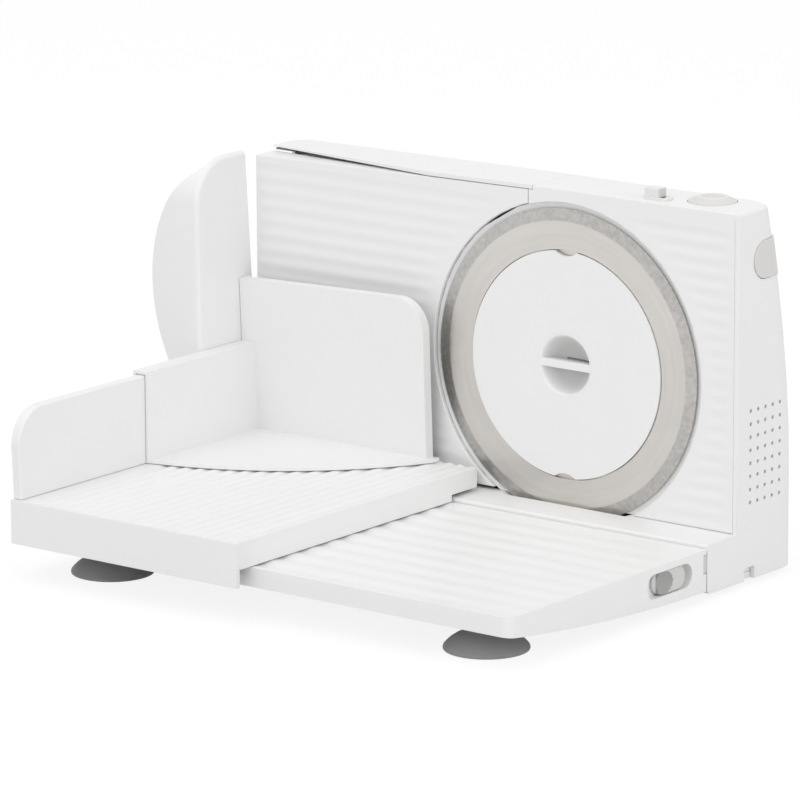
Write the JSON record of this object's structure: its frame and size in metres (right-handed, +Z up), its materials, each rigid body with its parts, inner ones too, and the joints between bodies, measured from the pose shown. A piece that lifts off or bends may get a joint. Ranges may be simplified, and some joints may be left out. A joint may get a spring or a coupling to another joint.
{
  "type": "electric food slicer",
  "caption": "White household food slicer with a round serrated blade, a sliding carriage and food holder, a thickness dial and a folding ribbed base.",
  "frame": {"origin": "middle of the footprint's bounding box, on the table", "axes": "+X along the machine to the user's right, +Y from the user to the housing's back, +Z up"},
  "size_m": [0.3588, 0.2844, 0.207],
  "materials": {
    "white_plastic": "satin",
    "grey_plastic": "satin",
    "dark_plastic": "matte",
    "inner_plastic": "matte",
    "gear_plastic": "satin",
    "grey_rubber": "matte",
    "blade_steel": "satin",
    "steel": "satin",
    "bronze": "satin",
    "motor_steel": "satin"
  },
  "bodies": {
    "housing": {"housing_shell": "white_plastic", "top_cover": "white_plastic", "front_panel": "white_plastic", "bottom_plate": "inner_plastic", "bottom_screw_1": "steel", "bottom_screw_2": "steel", "bottom_screw_3": "steel", "bottom_screw_4": "steel", "housing_foot_1": "grey_rubber", "housing_foot_2": "grey_rubber", "housing_foot_3": "grey_rubber", "housing_foot_4": "grey_rubber", "hinge_pin_left": "steel", "hinge_pin_right": "steel", "hinge_tab_right": "dark_plastic", "motor": "motor_steel", "motor_cradle": "inner_plastic", "gear_case": "inner_plastic", "shaft_bush_front": "bronze", "shaft_bush_rear": "bronze", "rod_bush_upper": "bronze", "rod_bush_lower": "bronze", "switch_block": "dark_plastic", "switch_bezel": "grey_plastic", "push_button_spring": "steel", "side_button_spring": "steel"},
    "blade_unit": {"blade": "blade_steel", "blade_disc": "white_plastic", "blade_hub": "dark_plastic", "drive_gear": "gear_plastic"},
    "lock": {"blade_lock": "white_plastic"},
    "worm_shaft": {"worm": "steel"},
    "stop": {"stop_plate": "white_plastic", "guide_rod_upper": "steel", "guide_rod_lower": "steel", "cam_post": "steel"},
    "dial": {"thickness_dial": "grey_plastic", "thickness_cam": "inner_plastic"},
    "thumb_switch": {"slide_switch": "grey_plastic"},
    "top_button": {"push_button": "grey_plastic"},
    "end_button": {"side_button": "grey_plastic"},
    "base": {"base_plate": "white_plastic", "suction_foot_left": "grey_rubber", "suction_foot_right": "grey_rubber", "latch_spring": "steel"},
    "latch": {"latch_slider": "grey_plastic", "latch_bolt": "dark_plastic"},
    "sliding_tray": {"carriage": "white_plastic", "carriage_runner": "inner_plastic", "slide_pad_left": "inner_plastic", "slide_pad_right": "inner_plastic", "fence": "white_plastic", "fence_screw_front": "steel", "fence_screw_rear": "steel"},
    "holder": {"food_holder": "white_plastic", "hand_guard": "white_plastic"}
  },
  "joints": [
    {"name": "dial_turn", "type": "hinge", "parent": "housing", "child": "dial", "pos_m": [-0.0477, 0.1288, 0.058], "axis": [0, 1, 0], "range_deg": [0, 300]},
    {"name": "stop_plate_slide", "type": "slide", "parent": "housing", "child": "stop", "axis": [0, 1, 0], "range_m": [0, 0.012]},
    {"name": "blade_spin", "type": "hinge", "parent": "housing", "child": "blade_unit", "pos_m": [0.0673, 0.0678, 0.106], "axis": [0, 1, 0], "continuous": true},
    {"name": "worm_spin", "type": "hinge", "parent": "housing", "child": "worm_shaft", "pos_m": [0.0673, 0.0993, 0.07], "axis": [1, 0, 0], "continuous": true},
    {"name": "blade_lock_turn", "type": "hinge", "parent": "blade_unit", "child": "lock", "pos_m": [0.0673, 0.0678, 0.106], "axis": [0, 1, 0], "range_deg": [0, 90]},
    {"name": "slide_switch_move", "type": "slide", "parent": "housing", "child": "thumb_switch", "axis": [1, 0, 0], "range_m": [0, 0.005]},
    {"name": "push_button_press", "type": "slide", "parent": "housing", "child": "top_button", "axis": [0, 0, -1], "range_m": [0, 0.0025], "stiffness_N_per_m": 500, "springref_m": -0.004, "deforming": ["push_button_spring"]},
    {"name": "side_button_press", "type": "slide", "parent": "housing", "child": "end_button", "axis": [-1, 0, 0], "range_m": [0, 0.003], "stiffness_N_per_m": 500, "springref_m": -0.004, "deforming": ["side_button_spring"]},
    {"name": "base_fold", "type": "hinge", "parent": "housing", "child": "base", "pos_m": [0, 0.0358, 0.019], "axis": [-1, 0, 0], "range_deg": [0, 2]},
    {"name": "latch_slide", "type": "slide", "parent": "base", "child": "latch", "axis": [0, -1, 0], "range_m": [0, 0.008], "stiffness_N_per_m": 250, "springref_m": -0.006, "deforming": ["latch_spring"]},
    {"name": "carriage_slide", "type": "slide", "parent": "base", "child": "sliding_tray", "axis": [1, 0, 0], "range_m": [0, 0.16]},
    {"name": "holder_slide", "type": "slide", "parent": "sliding_tray", "child": "holder", "axis": [0, -1, 0], "range_m": [0, 0.095]}
  ],
  "couplings": [
    {"joint": "stop_plate_slide", "follows": "dial_turn", "m_per_rad": 0.0022918},
    {"joint": "worm_spin", "follows": "blade_spin", "ratio": 32}
  ]
}
